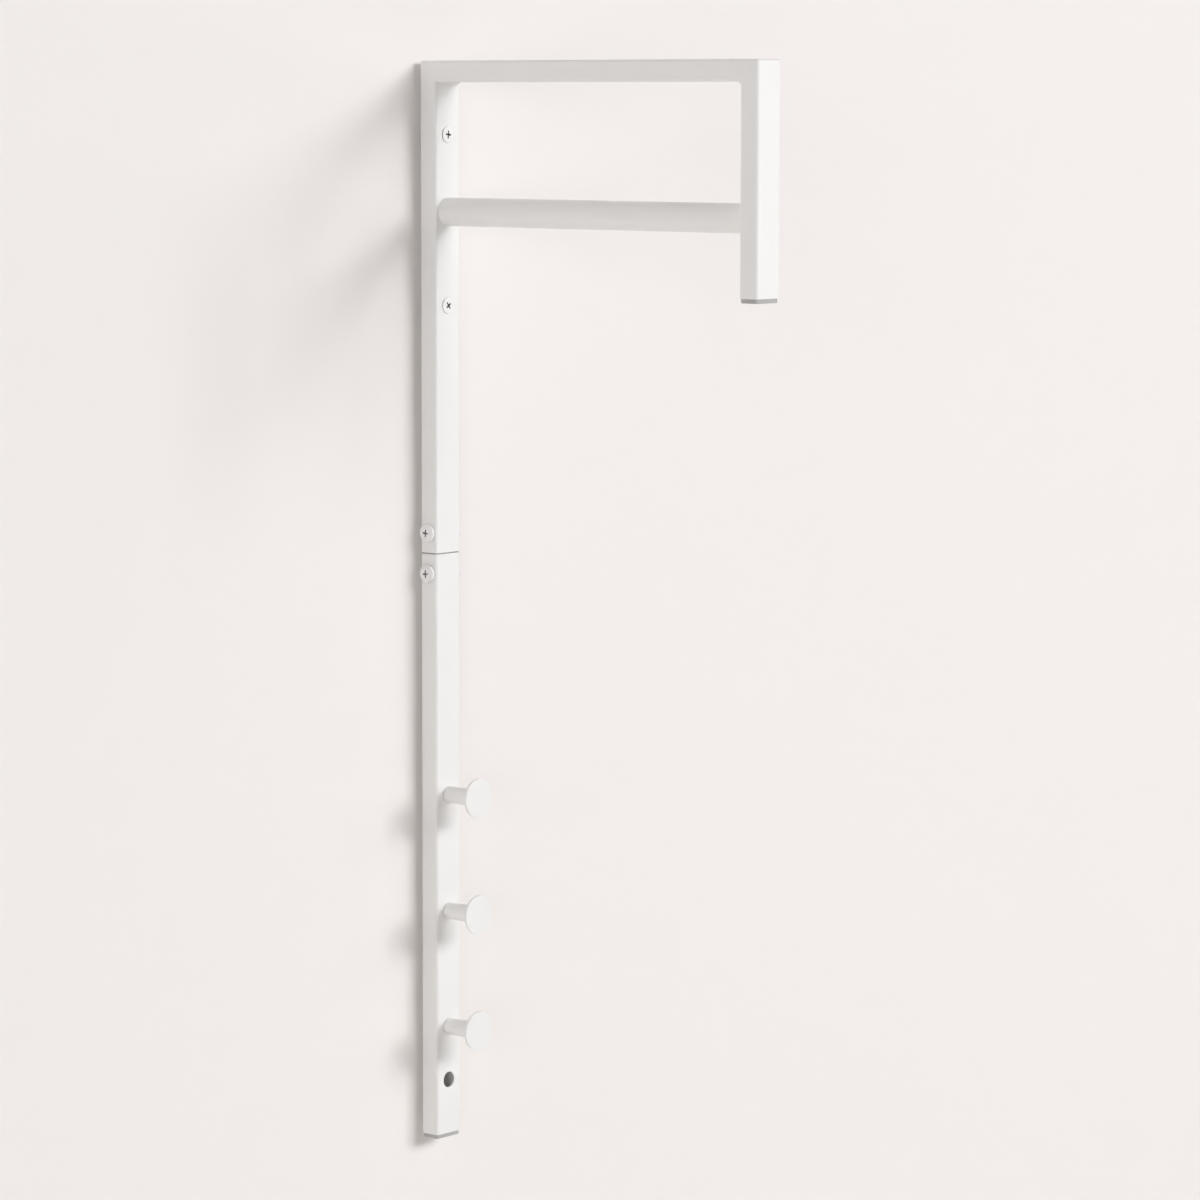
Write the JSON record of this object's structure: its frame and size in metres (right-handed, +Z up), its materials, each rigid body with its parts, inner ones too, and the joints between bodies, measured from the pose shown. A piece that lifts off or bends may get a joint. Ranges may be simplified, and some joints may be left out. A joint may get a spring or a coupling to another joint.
{
  "type": "wall coat rack",
  "caption": "White steel wall coat rack: flat bar on the wall, overhead arm and post holding a round hanger rail, and disc-headed pegs below.",
  "frame": {"origin": "on the wall plane, at the middle of the upper bar's back face, level with the axis of the hanger rail", "axes": "+Z up along the wall bar, +Y into the wall, so that the arm reaches out along -Y, and +X to the right for someone who faces the wall"},
  "size_m": [0.0318, 0.335, 0.769],
  "materials": {
    "white_coat": "satin white powder coat",
    "white_screw": "white painted screw heads",
    "grey_cap": "moulded grey plastic",
    "zinc": "zinc-plated steel"
  },
  "bodies": {
    "root": {"upper_wall_bar": "white_coat", "top_arm": "white_coat", "front_post": "white_coat", "hanging_rail": "white_coat", "lower_wall_bar": "white_coat", "peg_top": "white_coat", "peg_middle": "white_coat", "peg_bottom": "white_coat", "joint_screws": "white_screw", "wall_screws": "white_screw", "bar_end_cap": "grey_cap", "post_end_cap": "grey_cap", "joint_sleeve": "zinc", "peg_rivet_nuts": "zinc"}
  },
  "joints": []
}
